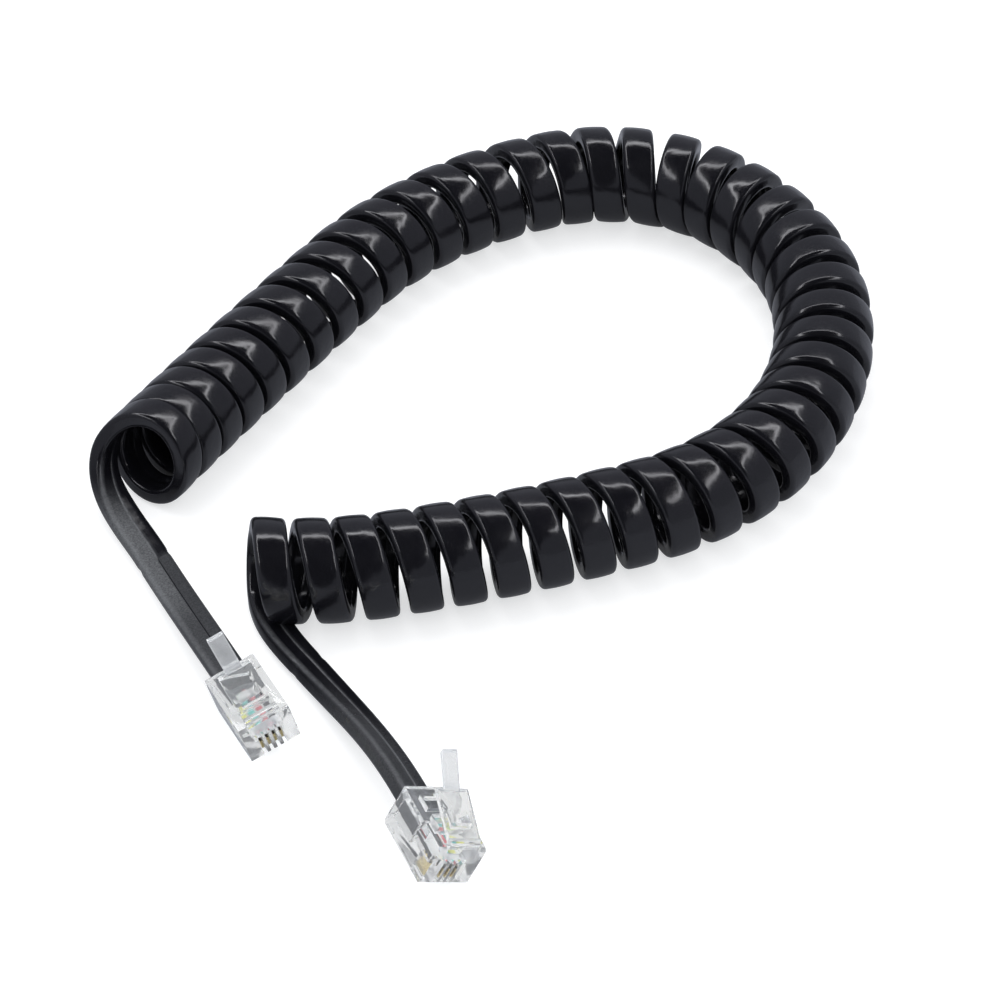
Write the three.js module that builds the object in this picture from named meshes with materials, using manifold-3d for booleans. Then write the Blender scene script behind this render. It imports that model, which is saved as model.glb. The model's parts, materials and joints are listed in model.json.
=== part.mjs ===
// A coiled telephone handset cord: one flat four-wire cord wound into a coil, with a clear
// four-way modular plug on each straight tail. It lies on a table, bent into a U.
// Millimetres, +Z up. End A is the far left end of the coil, end B the near left end.
import * as THREE from 'three';
import * as BufferGeometryUtils from 'three/addons/utils/BufferGeometryUtils.js';
import Module from 'manifold-3d';

const wasm = await Module();
wasm.setup();

// ---- the cord's cross-section ----
const CORD_WIDTH = 4.9;
const CORD_THICKNESS = 2.4;
const CORD_EDGE = 0.8;                 // how far the rounded edge reaches in from each side
const WIRE_PITCH = 1.02;
const WIRE_RADIUS = 0.4;
const WIRE_GAP = 0.13;                 // between the wires and the jacket's oval bore
const WIRE_SIDES = 6;
const WIRE_NAMES = ['black', 'red', 'green', 'yellow'];

// ---- the coil ----
const COIL_OUTER_RADIUS = 7.5;
const WIND_RADIUS = COIL_OUTER_RADIUS - CORD_THICKNESS / 2;
const TURN_LENGTH = 2 * Math.PI * WIND_RADIUS;
const TURNS = 43;
const COIL_START = 0.27;               // tail A leaves before the cord has come round underneath
const STEPS_PER_TURN = 12;
// The spacing of the turns, as [turn, pitch]: tight at end A, then nearly even.
const PITCHES = [[0, 4.9], [7, 6.6], [11, 6.8], [15, 6.2], [20, 6.6], [24, 6.7], [28, 6.4], [33, 6.3], [43, 6.2]];
const LOOSE_GAPS = [14.2, 17.6, 21.4]; // turns where the coil has opened a little more
const LOOSE_GAP = 0.6;
const LOOSE_GAP_TURNS = 0.3;
const AXIS_START = [-55.1, -5.2];
const AXIS_HEADING = 59.7;
const AXIS_ARCS = [                    // length and turn in degrees, from end A
  [60, -3.4], [40, -37], [30, -62], [30, -42], [30, -33], [30, -39.5], [40, -10.5], [20, -20.5],
];

// ---- where the coil lets go of the tails ----
const EXIT_A_TURNS = 0.5;
const EXIT_A_DRIFT = 1.5;              // the last half turn at end A drifts outwards
const EXIT_A_TILT = 3.2;                // and the tail pulls the foot of the end turns outwards
const EXIT_A_TILT_TURNS = 1.5;
const EXIT_B_OUT = 0.5;                // the last half turn at end B swings out, then comes back in
const EXIT_B_OUT_FROM = 0.65;
const EXIT_B_BACK = 2.5;
const EXIT_B_TURNS = 0.3;

// ---- the plugs: centre of the body, heading, pitch and roll in degrees ----
const PLUG_A = { centre: [-33.9, -49.8, 4.5], heading: -63, pitch: -1, roll: 16 };
const PLUG_B = { centre: [-8.6, -75.4, 5.25], heading: -65.5, pitch: -6.5, roll: -25.5 };
const PLUG_WIDTH = 7.65;
const PLUG_LENGTH = 11.7;
const PLUG_HEIGHT = 6.6;
const PLUG_ENTRY = PLUG_LENGTH / 2 + 0.5;      // the tail ends this far behind the plug's centre
// Where each tail lies on the table, and how soon it untwists: a higher number is sooner.
const TAIL_A_REST = { at: [-50.3, -14.8, 2.05], heading: -64.5, untwist: 4 };
const TAIL_B_REST = { at: [-25.7, -39.6, 1.4], heading: -57, untwist: 1.5 };

// ---- where the cord is divided, in turns along it ----
const CUT = 0.012;                     // half of the gap at each division
const TAIL_RIGID_START = 0.3;          // from the coil's exit, in turns of cord length
const TAIL_BEND = 0.16;
const BOOT_LENGTH = 4.6;               // the flexing cord just behind a plug, mm
const COIL_DIVISIONS = [7, 13, 16, 21.5, 27, 30, 36.5];

const JACKET_BLACK = 0x151518;
const WIRE_COLOURS = { black: 0x1c1c1e, red: 0xc83a34, green: 0x4fb9a4, yellow: 0xd9d24a };
const CLEAR_PLASTIC = 0xe6ecee;
const GOLD = 0xd8a83c;

const UP = new THREE.Vector3(0, 0, 1);
const vec = (x, y, z) => new THREE.Vector3(x, y, z);
const smooth = (x) => {
  const c = THREE.MathUtils.clamp(x, 0, 1);
  return c * c * (3 - 2 * c);
};

// ---------- materials ----------

function jacketMaterial() {
  return new THREE.MeshStandardMaterial({ color: JACKET_BLACK, roughness: 0.28, metalness: 0 });
}

function clearMaterial() {
  return new THREE.MeshStandardMaterial({
    color: CLEAR_PLASTIC, roughness: 0.08, metalness: 0, transparent: true, opacity: 0.35,
  });
}

function goldMaterial() {
  return new THREE.MeshStandardMaterial({ color: GOLD, roughness: 0.25, metalness: 1 });
}

function wireMaterial(name) {
  return new THREE.MeshStandardMaterial({ color: WIRE_COLOURS[name], roughness: 0.45, metalness: 0 });
}

// ---------- the line the cord follows ----------

// A point on the coil's axis, at height 0, and the axis direction there.
function axisAt(s) {
  let [x, y] = AXIS_START;
  let heading = THREE.MathUtils.degToRad(AXIS_HEADING);
  let left = s;
  for (const [length, degrees] of AXIS_ARCS) {
    const curvature = THREE.MathUtils.degToRad(degrees) / length;
    const run = Math.min(Math.max(left, 0), length);
    x += (Math.sin(heading + curvature * run) - Math.sin(heading)) / curvature;
    y -= (Math.cos(heading + curvature * run) - Math.cos(heading)) / curvature;
    heading += curvature * run;
    left -= run;
  }
  const along = vec(Math.cos(heading), Math.sin(heading), 0);
  const point = vec(x, y, 0).addScaledVector(along, left);
  return { point, along };
}

// The sum of the spacing over the first u turns: the pitch changes evenly from knot to knot.
function spacing(u) {
  let s = 0;
  for (let i = 1; i < PITCHES.length; i += 1) {
    const [from, first] = PITCHES[i - 1];
    const [to, last] = PITCHES[i];
    const run = THREE.MathUtils.clamp(u - from, 0, to - from);
    s += first * run + (last - first) * run * run / (to - from) / 2;
  }
  return s;
}

// How far along the axis the cord has got after u turns.
function advance(u) {
  const early = Math.max(0, 1 - u / EXIT_A_TURNS);
  const tilt = EXIT_A_TILT * Math.cos(2 * Math.PI * u) * Math.exp(-u / EXIT_A_TILT_TURNS);
  let s = EXIT_A_TILT - tilt + EXIT_A_DRIFT * (1 - early * early) + spacing(u);
  for (const turn of LOOSE_GAPS) {
    s += LOOSE_GAP * smooth((u - turn) / LOOSE_GAP_TURNS + 0.5);
  }
  const late = Math.max(0, 1 - (TURNS - u) / EXIT_B_TURNS);
  const swing = (u - TURNS + EXIT_B_OUT_FROM) / (EXIT_B_OUT_FROM - EXIT_B_TURNS / 2);
  s += EXIT_B_OUT * smooth(swing) - EXIT_B_BACK * late * late;
  return s;
}

// The wound cord after u turns: a right-handed helix that starts and ends underneath.
function coilPoint(u) {
  const { point, along } = axisAt(advance(u));
  const side = UP.clone().cross(along);
  const angle = 2 * Math.PI * u;
  const outward = UP.clone().multiplyScalar(-Math.cos(angle)).addScaledVector(side, Math.sin(angle));
  point.z = COIL_OUTER_RADIUS;
  return { point: point.addScaledVector(outward, WIND_RADIUS), outward };
}

function plugAxes(plug) {
  const turn = THREE.MathUtils.degToRad;
  const rotation = new THREE.Matrix4().makeRotationZ(turn(plug.heading - 90));
  rotation.multiply(new THREE.Matrix4().makeRotationX(turn(plug.pitch)));
  rotation.multiply(new THREE.Matrix4().makeRotationY(turn(plug.roll)));
  const right = new THREE.Vector3();
  const forward = new THREE.Vector3();
  const top = new THREE.Vector3();
  rotation.extractBasis(right, forward, top);
  return { rotation, right, forward, top };
}

// A smooth curve between two points, with its direction at each.
function bow(start, leaving, end, arriving) {
  const pull = start.distanceTo(end) / 3;
  const first = start.clone().addScaledVector(leaving, pull);
  const second = end.clone().addScaledVector(arriving, -pull);
  return new THREE.CubicBezierCurve3(start, first, second, end);
}

// A tail runs from the coil's exit, tangent to it, over its place on the table, to its plug.
function makeTail(exitTurn, outwards, rest, plug) {
  const step = 1e-3;
  const { point: start, outward } = coilPoint(exitTurn);
  const inside = coilPoint(exitTurn - outwards * step).point;
  const leaving = start.clone().sub(inside).normalize();
  const heading = THREE.MathUtils.degToRad(rest.heading);
  const onTable = vec(...rest.at);
  const alongTable = vec(Math.cos(heading), Math.sin(heading), 0);
  const { forward, top } = plugAxes(plug);
  const end = vec(...plug.centre).addScaledVector(forward, -PLUG_ENTRY);
  const curve = new THREE.CurvePath();
  curve.add(bow(start, leaving, onTable, alongTable));
  curve.add(bow(onTable, alongTable, end, forward));
  const under = top.clone().negate();
  return { curve, length: curve.getLength(), outward, under, untwist: rest.untwist };
}

const TAIL_A = makeTail(COIL_START, -1, TAIL_A_REST, PLUG_A);
const TAIL_B = makeTail(TURNS, 1, TAIL_B_REST, PLUG_B);

// Any point of the cord. u is in turns; a tail goes on in the same measure, before COIL_START or
// after TURNS.
function cordPoint(u) {
  if (u >= COIL_START && u <= TURNS) {
    return coilPoint(u);
  }
  const tail = u < COIL_START ? TAIL_A : TAIL_B;
  const beyond = u < COIL_START ? COIL_START - u : u - TURNS;
  const share = Math.min(beyond * TURN_LENGTH / tail.length, 1);
  const twist = (1 - share) ** tail.untwist;
  const outward = tail.under.clone().lerp(tail.outward, twist).normalize();
  return { point: tail.curve.getPoint(share), outward };
}

// One stretch of the cord, for ExtrudeGeometry: it keeps the flat cord's own frame, so the
// section's x runs across the cord and its y runs through the thickness, outwards.
class CordStretch extends THREE.Curve {
  constructor(from, to) {
    super();
    this.from = from;
    this.to = to;
  }

  getPoint(t) {
    return cordPoint(THREE.MathUtils.lerp(this.from, this.to, t)).point;
  }

  getPointAt(t) {
    return this.getPoint(t);
  }

  computeFrenetFrames(segments) {
    const frames = { tangents: [], normals: [], binormals: [] };
    const small = 1e-3;
    for (let i = 0; i <= segments; i += 1) {
      const u = THREE.MathUtils.lerp(this.from, this.to, i / segments);
      const tangent = cordPoint(u + small).point.sub(cordPoint(u - small).point).normalize();
      const across = cordPoint(u).outward.cross(tangent).normalize();
      frames.tangents.push(tangent);
      frames.normals.push(across);
      frames.binormals.push(tangent.clone().cross(across));
    }
    return frames;
  }
}

// ---------- sections ----------

// A flat six-sided outline whose left and right ends narrow over `edge`.
function outline6(half, deep, edge) {
  const flat = half - edge;
  return [[half, 0], [flat, deep], [-flat, deep], [-half, 0], [-flat, -deep], [flat, -deep]]
    .map(([x, y]) => new THREE.Vector2(x, y));
}

function circlePoints(x, radius) {
  return Array.from({ length: WIRE_SIDES }, (_, i) => {
    const angle = 2 * Math.PI * i / WIRE_SIDES;
    return new THREE.Vector2(x + radius * Math.cos(angle), radius * Math.sin(angle));
  });
}

const wireOffset = (i) => ((WIRE_NAMES.length - 1) / 2 - i) * WIRE_PITCH;

// One oval bore holds the four wires side by side.
function cordSection(hollow) {
  const shape = new THREE.Shape(outline6(CORD_WIDTH / 2, CORD_THICKNESS / 2, CORD_EDGE));
  if (hollow) {
    const high = WIRE_RADIUS + WIRE_GAP;
    const half = wireOffset(0) + WIRE_RADIUS + WIRE_GAP * 2;
    shape.holes.push(new THREE.Path(outline6(half, high, high / 2)));
  }
  return shape;
}

function sweep(shape, from, to) {
  const steps = Math.max(2, Math.round((to - from) * STEPS_PER_TURN));
  const extrudePath = new CordStretch(from, to);
  return new THREE.ExtrudeGeometry(shape, { steps, extrudePath, bevelEnabled: false });
}

// ---------- solids ----------

function closed(geometry) {
  const clean = geometry.clone();
  clean.deleteAttribute('normal');
  clean.deleteAttribute('uv');
  return BufferGeometryUtils.mergeVertices(clean, 1e-5);
}

function toSolid(geometry) {
  const merged = closed(geometry);
  return new wasm.Manifold(new wasm.Mesh({
    numProp: 3,
    vertProperties: Float32Array.from(merged.attributes.position.array),
    triVerts: Uint32Array.from(merged.index.array),
  }));
}

function toGeometry(solid) {
  const mesh = solid.getMesh();
  const geometry = new THREE.BufferGeometry();
  geometry.setAttribute('position', new THREE.BufferAttribute(mesh.vertProperties, 3));
  geometry.setIndex(new THREE.BufferAttribute(mesh.triVerts, 1));
  return geometry;
}

function block([x0, x1], [y0, y1], [z0, z1]) {
  const box = new THREE.BoxGeometry(x1 - x0, y1 - y0, z1 - z0);
  return box.translate((x0 + x1) / 2, (y0 + y1) / 2, (z0 + z1) / 2);
}

// A side outline in y and z, given a width across x.
function sidePlate(outline, width) {
  const shape = new THREE.Shape(outline.map(([y, z]) => new THREE.Vector2(y, z)));
  const plate = new THREE.ExtrudeGeometry(shape, { depth: width, bevelEnabled: false });
  return plate.translate(0, 0, -width / 2).applyMatrix4(new THREE.Matrix4().set(
    0, 0, 1, 0,
    1, 0, 0, 0,
    0, 1, 0, 0,
    0, 0, 0, 1,
  ));
}

// ---------- the plug's own parts: +Y is the end that goes into the socket, +Z the latch side ----------

const FRONT = PLUG_LENGTH / 2;
const SIDE = PLUG_WIDTH / 2;
const ROOF = PLUG_HEIGHT / 2;
const CAVITY = { half: 2.85, high: 1.55, end: -0.2 };
const WIRE_ROOM = { half: 2.2, high: 0.65, end: 4.2 };
const SLOT = { half: 0.32, back: 1.9 };
const JACKET_STOP = -0.9;
const WIRE_STOP = 3.9;
const STRAIN_WINDOW = { half: 1.9, back: -4.5, front: -1.7 };
const WIRE_WINDOW = { half: 1.9, back: -0.7, front: 1.7 };
const NOSE = { half: 2.55, deep: 0.7, high: 1.25 };    // the block the latch springs from
const FIT = 0.3;

// The clear body: a block with chamfered ends and a nose, the cord cavity from the back, the
// wire room, four contact slots open to the front and underneath, and two windows on top.
function housing() {
  const chamfer = 0.5;
  const body = toSolid(sidePlate([
    [-FRONT + chamfer, -ROOF], [FRONT - chamfer, -ROOF], [FRONT, -ROOF + chamfer],
    [FRONT, ROOF - chamfer], [FRONT - chamfer, ROOF], [-FRONT, ROOF], [-FRONT, -ROOF + chamfer],
  ], PLUG_WIDTH));
  const nose = toSolid(block([-NOSE.half, NOSE.half], [FRONT - NOSE.deep, FRONT], [0, ROOF + NOSE.high]));
  const past = 1;
  const room = [-WIRE_ROOM.high, WIRE_ROOM.high];
  const cuts = [
    block([-CAVITY.half, CAVITY.half], [-FRONT - past, CAVITY.end], [-CAVITY.high, CAVITY.high]),
    block([-WIRE_ROOM.half, WIRE_ROOM.half], [CAVITY.end - past, WIRE_ROOM.end], room),
    block([-STRAIN_WINDOW.half, STRAIN_WINDOW.half], [STRAIN_WINDOW.back, STRAIN_WINDOW.front], [0, ROOF + past]),
    block([-WIRE_WINDOW.half, WIRE_WINDOW.half], [WIRE_WINDOW.back, WIRE_WINDOW.front], [0, ROOF + past]),
  ];
  WIRE_NAMES.forEach((_, i) => {
    const x = wireOffset(i);
    cuts.push(block([x - SLOT.half, x + SLOT.half], [SLOT.back, FRONT + past], [-ROOF - past, WIRE_ROOM.high]));
  });
  return toGeometry(cuts.reduce((solid, cut) => solid.subtract(toSolid(cut)), body.add(nose)));
}

// Latch lever outline from above: a wide plate with two catch shoulders, then the thumb stem.
const LATCH = {
  rootY: FRONT - 1.0, rootZ: ROOF + 0.45, plateRun: 6.2, plateRise: 2.5, stemRun: 4.6, stemRise: 3.2,
  thick: 0.8, plateWidth: 5.1, stemWidth: 2.5,
};

function latch() {
  const y0 = LATCH.rootY;
  const y1 = y0 - LATCH.plateRun;
  const y2 = y1 - LATCH.stemRun;
  const z0 = LATCH.rootZ;
  const z1 = z0 + LATCH.plateRise;
  const z2 = z1 + LATCH.stemRise;
  const t = LATCH.thick;
  const lip = 0.4;
  const plate = toSolid(sidePlate([[y0, z0], [y0, z0 + t], [y1 - lip, z1 + t], [y1 - lip, z1]], LATCH.plateWidth));
  const stem = toSolid(sidePlate([
    [y1 + t, z1 - lip], [y1 + t, z1], [y1 - lip, z1 + t], [y2, z2 + t], [y2, z2], [y1, z1 - lip / 4],
  ], LATCH.stemWidth));
  return toGeometry(plate.add(stem));
}

// A gold-plated blade: it stands in its slot under one wire, with a rounded contact edge.
function contact(i) {
  const blade = { thick: 0.34, back: 2.2, front: 5.3, top: -0.6, bottom: -2.7, round: 0.9 };
  const steps = 4;
  const outline = [[blade.back, blade.top], [blade.back, blade.bottom]];
  for (let k = 0; k <= steps; k += 1) {
    const angle = -Math.PI / 2 + Math.PI / 2 * k / steps;
    outline.push([
      blade.front - blade.round + blade.round * Math.cos(angle),
      blade.bottom + blade.round + blade.round * Math.sin(angle),
    ]);
  }
  outline.push([blade.front, blade.top]);
  return sidePlate(outline, blade.thick).translate(wireOffset(i), 0, 0);
}

function strainReliefBar() {
  const z = CORD_THICKNESS / 2 + FIT;
  const { half, back, front } = STRAIN_WINDOW;
  return sidePlate([
    [back + FIT, ROOF - FIT], [back + FIT, z + 0.6], [back + FIT + 0.5, z],
    [front - FIT, z], [front - FIT, ROOF - FIT],
  ], 2 * (half - FIT));
}

function wireClampBar() {
  const { half, back, front } = WIRE_WINDOW;
  return block([-half + FIT, half - FIT], [back + FIT, front - FIT], [WIRE_RADIUS + FIT, ROOF - FIT]);
}

// The cord's cut end inside the plug, with the four wires running on through it.
function jacketEnd() {
  const length = PLUG_ENTRY + JACKET_STOP;
  const end = new THREE.ExtrudeGeometry(cordSection(true), { depth: length, bevelEnabled: false });
  return end.rotateX(-Math.PI / 2).translate(0, -PLUG_ENTRY, 0);
}

function plugWire(i, side) {
  const shape = new THREE.Shape(circlePoints(0, WIRE_RADIUS));
  const wire = new THREE.ExtrudeGeometry(shape, { depth: PLUG_ENTRY + WIRE_STOP, bevelEnabled: false });
  return wire.rotateX(-Math.PI / 2).translate(side * wireOffset(i), -PLUG_ENTRY, 0);
}

// ---------- assembly ----------

const cord = new THREE.Group();

function add(group, name, geometry, material) {
  const mesh = new THREE.Mesh(geometry, material);
  mesh.name = name;
  group.add(mesh);
}

// Both latches are on the same face of the flat cord, so the wires meet the two plugs in
// opposite orders: `side` is 1 where the plug's x runs with the cord's x, and -1 against it.
function addPlug(end, plug, side) {
  const group = new THREE.Group();
  group.applyMatrix4(plugAxes(plug).rotation);
  group.position.set(...plug.centre);
  add(group, `plug_${end}_housing`, housing(), clearMaterial());
  add(group, `plug_${end}_latch`, latch(), clearMaterial());
  add(group, `plug_${end}_strain_relief_bar`, strainReliefBar(), clearMaterial());
  add(group, `plug_${end}_wire_clamp_bar`, wireClampBar(), clearMaterial());
  add(group, `plug_${end}_jacket_end`, jacketEnd(), jacketMaterial());
  WIRE_NAMES.forEach((name, i) => {
    add(group, `plug_${end}_contact_${i + 1}`, contact(i), goldMaterial());
    add(group, `plug_${end}_wire_${name}`, plugWire(i, side), wireMaterial(name));
  });
  cord.add(group);
}

// A tail: the part that flexes at the coil's exit, the tail with its four wires, and the part
// that flexes behind the plug. `at` turns a distance from the exit into a place on the cord.
function addTail(end, tail, at) {
  const whole = tail.length / TURN_LENGTH;
  const boot = whole - BOOT_LENGTH / TURN_LENGTH;
  const stretch = (shape, from, to) => {
    const [low, high] = [at(from), at(to)].sort((a, b) => a - b);
    return sweep(shape, low, high);
  };
  const bendEnd = TAIL_RIGID_START;
  const bendStart = TAIL_BEND;
  add(cord, `tail_${end}_bend`, stretch(cordSection(false), bendStart + CUT, bendEnd - CUT), jacketMaterial());
  add(cord, `tail_${end}_jacket`, stretch(cordSection(true), bendEnd, boot - CUT), jacketMaterial());
  add(cord, `tail_${end}_boot_flex`, stretch(cordSection(false), boot, whole - CUT), jacketMaterial());
  WIRE_NAMES.forEach((name, i) => {
    const wire = new THREE.Shape(circlePoints(wireOffset(i), WIRE_RADIUS));
    add(cord, `tail_${end}_wire_${name}`, stretch(wire, bendEnd, boot - CUT), wireMaterial(name));
  });
}

const COIL_NAMES = [
  'coil_a_outer_turns', 'coil_a_inner_turns', 'coil_left_bend_turns', 'coil_back_turns',
  'coil_right_turns', 'coil_right_bend_turns', 'coil_b_inner_turns', 'coil_b_outer_turns',
];

function addCoil() {
  const ends = [COIL_START - TAIL_BEND, ...COIL_DIVISIONS, TURNS + TAIL_BEND];
  COIL_NAMES.forEach((name, i) => {
    const coil = sweep(cordSection(false), ends[i] + CUT, ends[i + 1] - CUT);
    add(cord, name, coil, jacketMaterial());
  });
}

addCoil();
addTail('a', TAIL_A, (distance) => COIL_START - distance);
addTail('b', TAIL_B, (distance) => TURNS + distance);
addPlug('a', PLUG_A, -1);
addPlug('b', PLUG_B, 1);

cord.updateMatrixWorld(true);
const bounds = new THREE.Box3().setFromObject(cord, true);
const middle = bounds.getCenter(new THREE.Vector3());
cord.position.set(-middle.x, -middle.y, -bounds.min.z);

export default cord;
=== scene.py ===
"""Looks for a coiled handset cord with a clear modular plug on each straight tail.

One flat cord is swept along the same line as the CAD part. It is split only where a joint
lets it stretch or bend. The plugs are clear mouldings around the cord's end, its four wires
and the gold contacts.

Lengths are millimetres, in the part's own frame before it is centred, up to `place`.
"""
import json
import math

import bmesh
import bpy
import numpy as np
from mathutils import Matrix, Vector


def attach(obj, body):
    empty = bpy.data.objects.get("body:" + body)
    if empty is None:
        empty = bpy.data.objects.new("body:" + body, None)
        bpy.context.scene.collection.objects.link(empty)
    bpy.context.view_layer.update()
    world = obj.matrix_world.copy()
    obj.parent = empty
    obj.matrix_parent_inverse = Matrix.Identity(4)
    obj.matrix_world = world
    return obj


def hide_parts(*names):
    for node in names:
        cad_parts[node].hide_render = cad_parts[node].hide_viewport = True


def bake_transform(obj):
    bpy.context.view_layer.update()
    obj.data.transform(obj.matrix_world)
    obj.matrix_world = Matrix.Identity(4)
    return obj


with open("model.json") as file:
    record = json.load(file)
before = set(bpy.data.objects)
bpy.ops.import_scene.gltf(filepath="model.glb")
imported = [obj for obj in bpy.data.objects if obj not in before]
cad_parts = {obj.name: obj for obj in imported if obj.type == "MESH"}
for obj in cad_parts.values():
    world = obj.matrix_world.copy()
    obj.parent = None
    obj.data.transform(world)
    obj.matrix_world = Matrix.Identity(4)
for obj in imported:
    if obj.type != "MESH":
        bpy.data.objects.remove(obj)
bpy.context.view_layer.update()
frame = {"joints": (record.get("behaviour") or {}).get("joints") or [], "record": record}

joints = {joint["name"]: joint for joint in frame["joints"]}
mounts = {mount["name"]: mount for mount in frame["record"]["mounts"]}
MM = 0.001
TINY = 1e-6

# ---- the cord ----
CORD_HALF_WIDTH = 2.45
CORD_HALF_THICKNESS = 1.2
SHOULDER = 0.75                        # radius of the cord's four long edges
SHOULDER_STEPS = 4
# Where the outline has points between its corners, as shares of the flat face's half width.
OUTER_POINTS = (0.6, 0.2, -0.2, -0.6)
INNER_POINTS = (-0.75, -0.4, -0.14, -0.07, 0, 0.07, 0.14, 0.4, 0.75)
OUTER_CROWN = 0.08
VALLEY_DEPTH = 0.2                     # the wide valley along the inner face
VALLEY_A, VALLEY_B = 0.5, -0.4         # how far off centre it runs at each end
CREASE_DEPTH = 0.16                    # the fine crease at the bottom of the valley
NOTCH = {"a": 23.5, "b": 15.0}         # how far down each tail the coil's set ends
NOTCH_DEPTH = 0.16
NOTCH_HALF = 0.5
WIRE_PITCH = 1.02
WIRE_RADIUS = 0.4
WIRE_SIDES = 14
WIRE_COLOURS = {
    "black": (0.015, 0.015, 0.017),
    "red": (0.70, 0.12, 0.13),
    "green": (0.14, 0.58, 0.52),
    "yellow": (0.78, 0.74, 0.16),
}

# ---- how the jacket's surface dulls, with painted light and shade on the tails ----
# Each change starts at a distance down the tail, takes a second distance, and goes as far as a share.
# The light side of the crease dulls to a lighter colour, which is painted light, and grows glossier again
# towards the plug. The dark side, which is painted shade, dulls less.
DULLING_AND_SIDE_SHADE = {
    "a": {"light": (5, 12, 0.97), "regained": (31, 12, 0.55), "dark": (NOTCH["a"], 1.2, 0.4)},
    "b": {"light": (14, 26, 0.4), "regained": (29, 11, 0), "dark": (24, 18, 0.25)},
}
SHEEN_RUN = 8                          # the coil's strong mirror fades over this much of each tail
SIDE_RAMP = 0.1                        # the width of the step from the light side to the dark side
# Where the painted highlights run: a line along each tail's crease, and a weaker band along its light edge.
HIGHLIGHT_CREASE_HALF = 0.13
HIGHLIGHT_EDGE_AT, HIGHLIGHT_EDGE_HALF, HIGHLIGHT_EDGE_SHARE = 1.85, 0.25, 0.7

# ---- the coil, wound and bent as the CAD part is ----
COIL_RADIUS = 7.5
WIND_RADIUS = COIL_RADIUS - CORD_HALF_THICKNESS
TURN_LENGTH = 2 * math.pi * WIND_RADIUS
TURNS = 43
COIL_START = 0.27                      # tail A leaves before the cord has come round underneath
PITCHES = ((0, 4.9), (7, 6.6), (11, 6.8), (15, 6.2), (20, 6.6), (24, 6.7), (28, 6.4), (33, 6.3), (43, 6.2))
LOOSE_TURNS = (14.2, 17.6, 21.4)       # where neighbouring turns stand a little apart
LOOSE_GAP = 0.6
LOOSE_GAP_TURNS = 0.3
AXIS_START = (-55.1, -5.2)
AXIS_HEADING = 59.7
AXIS_ARCS = (                          # length and change of heading in degrees
    (60, -3.4), (40, -37), (30, -62), (30, -42), (30, -33), (30, -39.5), (40, -10.5), (20, -20.5),
)
EXIT_A_TURNS = 0.5
EXIT_A_DRIFT = 1.5
EXIT_A_TILT = 3.2
EXIT_A_TILT_TURNS = 1.5
EXIT_B_OUT = 0.5
EXIT_B_OUT_FROM = 0.65
EXIT_B_BACK = 2.5
EXIT_B_TURNS = 0.3
TAIL_EXITS = {"a": COIL_START, "b": TURNS}
# Where each tail lies on the table, its heading there, and how soon it untwists: higher is sooner.
TAIL_REST = {"a": ((-50.3, -14.8, 2.05), -64.5, 4), "b": ((-25.7, -39.6, 1.4), -57, 1.5)}

# ---- where the cord's pieces meet and bend, in turns along the coil or from its exits ----
LEFT_BEND_TURN = 14.5
COIL_PIECES = (                        # name, first turn, last turn, its two bodies, the CAD nodes it shows
    ("coil_a_turns", COIL_START, 13, "coil_a_outer", "coil_a_inner",
     ("coil_a_outer_turns", "coil_a_inner_turns")),
    ("coil_left_corner", 13, 16, "coil_a_inner", "coil_back", ("coil_left_bend_turns",)),
    ("coil_back_turns_full", 16, 27, "coil_back", "coil_right", ("coil_back_turns", "coil_right_turns")),
    ("coil_right_corner", 27, 30, "coil_right", "coil_b_inner", ("coil_right_bend_turns",)),
    ("coil_b_turns", 30, TURNS, "coil_b_inner", "coil_b_outer", ("coil_b_inner_turns", "coil_b_outer_turns")),
)
STEPS_PER_TURN = 60
TAIL_SPLIT = 0.62

# ---- the plugs: +Y goes into the socket, +Z is the latch side, and the middle is the body's middle ----
PLUG_LENGTH = 11.7
PLUG_WIDTH = 7.65
PLUG_HEIGHT = 6.6
PLUG_ENTRY = PLUG_LENGTH / 2 + 0.5     # the tail's line ends this far behind the middle and runs on straight
FRONT = PLUG_LENGTH / 2
ROOF = PLUG_HEIGHT / 2
NOSE_MOUNT_HEIGHT = 1.9
JACKET_STOP = -0.9                     # where the jacket and the wires end in the plug
WIRE_STOP = 3.9
CHAMFER = 0.45
BOSS_WIDTH = 5.1                       # the raised nose that the latch springs from
MOUTH_WIDTH = 6.4
CHANNEL_WIDTH, CHANNEL_HALF_HEIGHT = 5.7, 1.55
CHAMBER_WIDTH, CHAMBER_HALF_HEIGHT = 4.4, 0.65
WINDOW_WIDTH = 3.8
BAR_WIDTH = 3.2
BAR_TOP = 2.9
STRAIN_BAR_FOOT = 1.32
CLAMP_BAR_FOOT = 0.75
SLOT_WIDTH = 0.56
BLADE_THICKNESS = 0.34
BLADE_POINTS = (4.6, 2.9)
BLADE_POINT_HALF = 0.3
LATCH_THICKNESS = 0.8
LATCH_LIP = 0.4
PLATE_WIDTH, PLATE_RUN, PLATE_RISE = 5.0, 6.2, 2.5
STEM_WIDTH, STEM_RUN, STEM_RISE = 2.45, 4.6, 3.2
PANEL_WIDTH = 1.5                      # the thin recessed panel in the stem
HOLLOW_WIDTH = 3.4

# ---- how milky the clear plastic is ----
HAZE = {"clear_body": 0.09, "latch_lever": 0.08, "strain_bar": 0.05, "clamp_bar": 0.16}
STEM_HAZE = 0.38
PANEL_HAZE = 0.14                      # within PANEL_HALF of the stem's middle
PANEL_HALF = 0.8
PLATE_HAZE_SHARE = 0.2                 # of the haze that the catch plate's points have
STEM_FROM = -1.7                       # the latch's thumb stem is behind this


def smooth(x):
    c = np.clip(x, 0, 1)
    return c * c * (3 - 2 * c)


def unit(v):
    return v / np.linalg.norm(v, axis=-1, keepdims=True)


# ---- the line the cord follows ----

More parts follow.
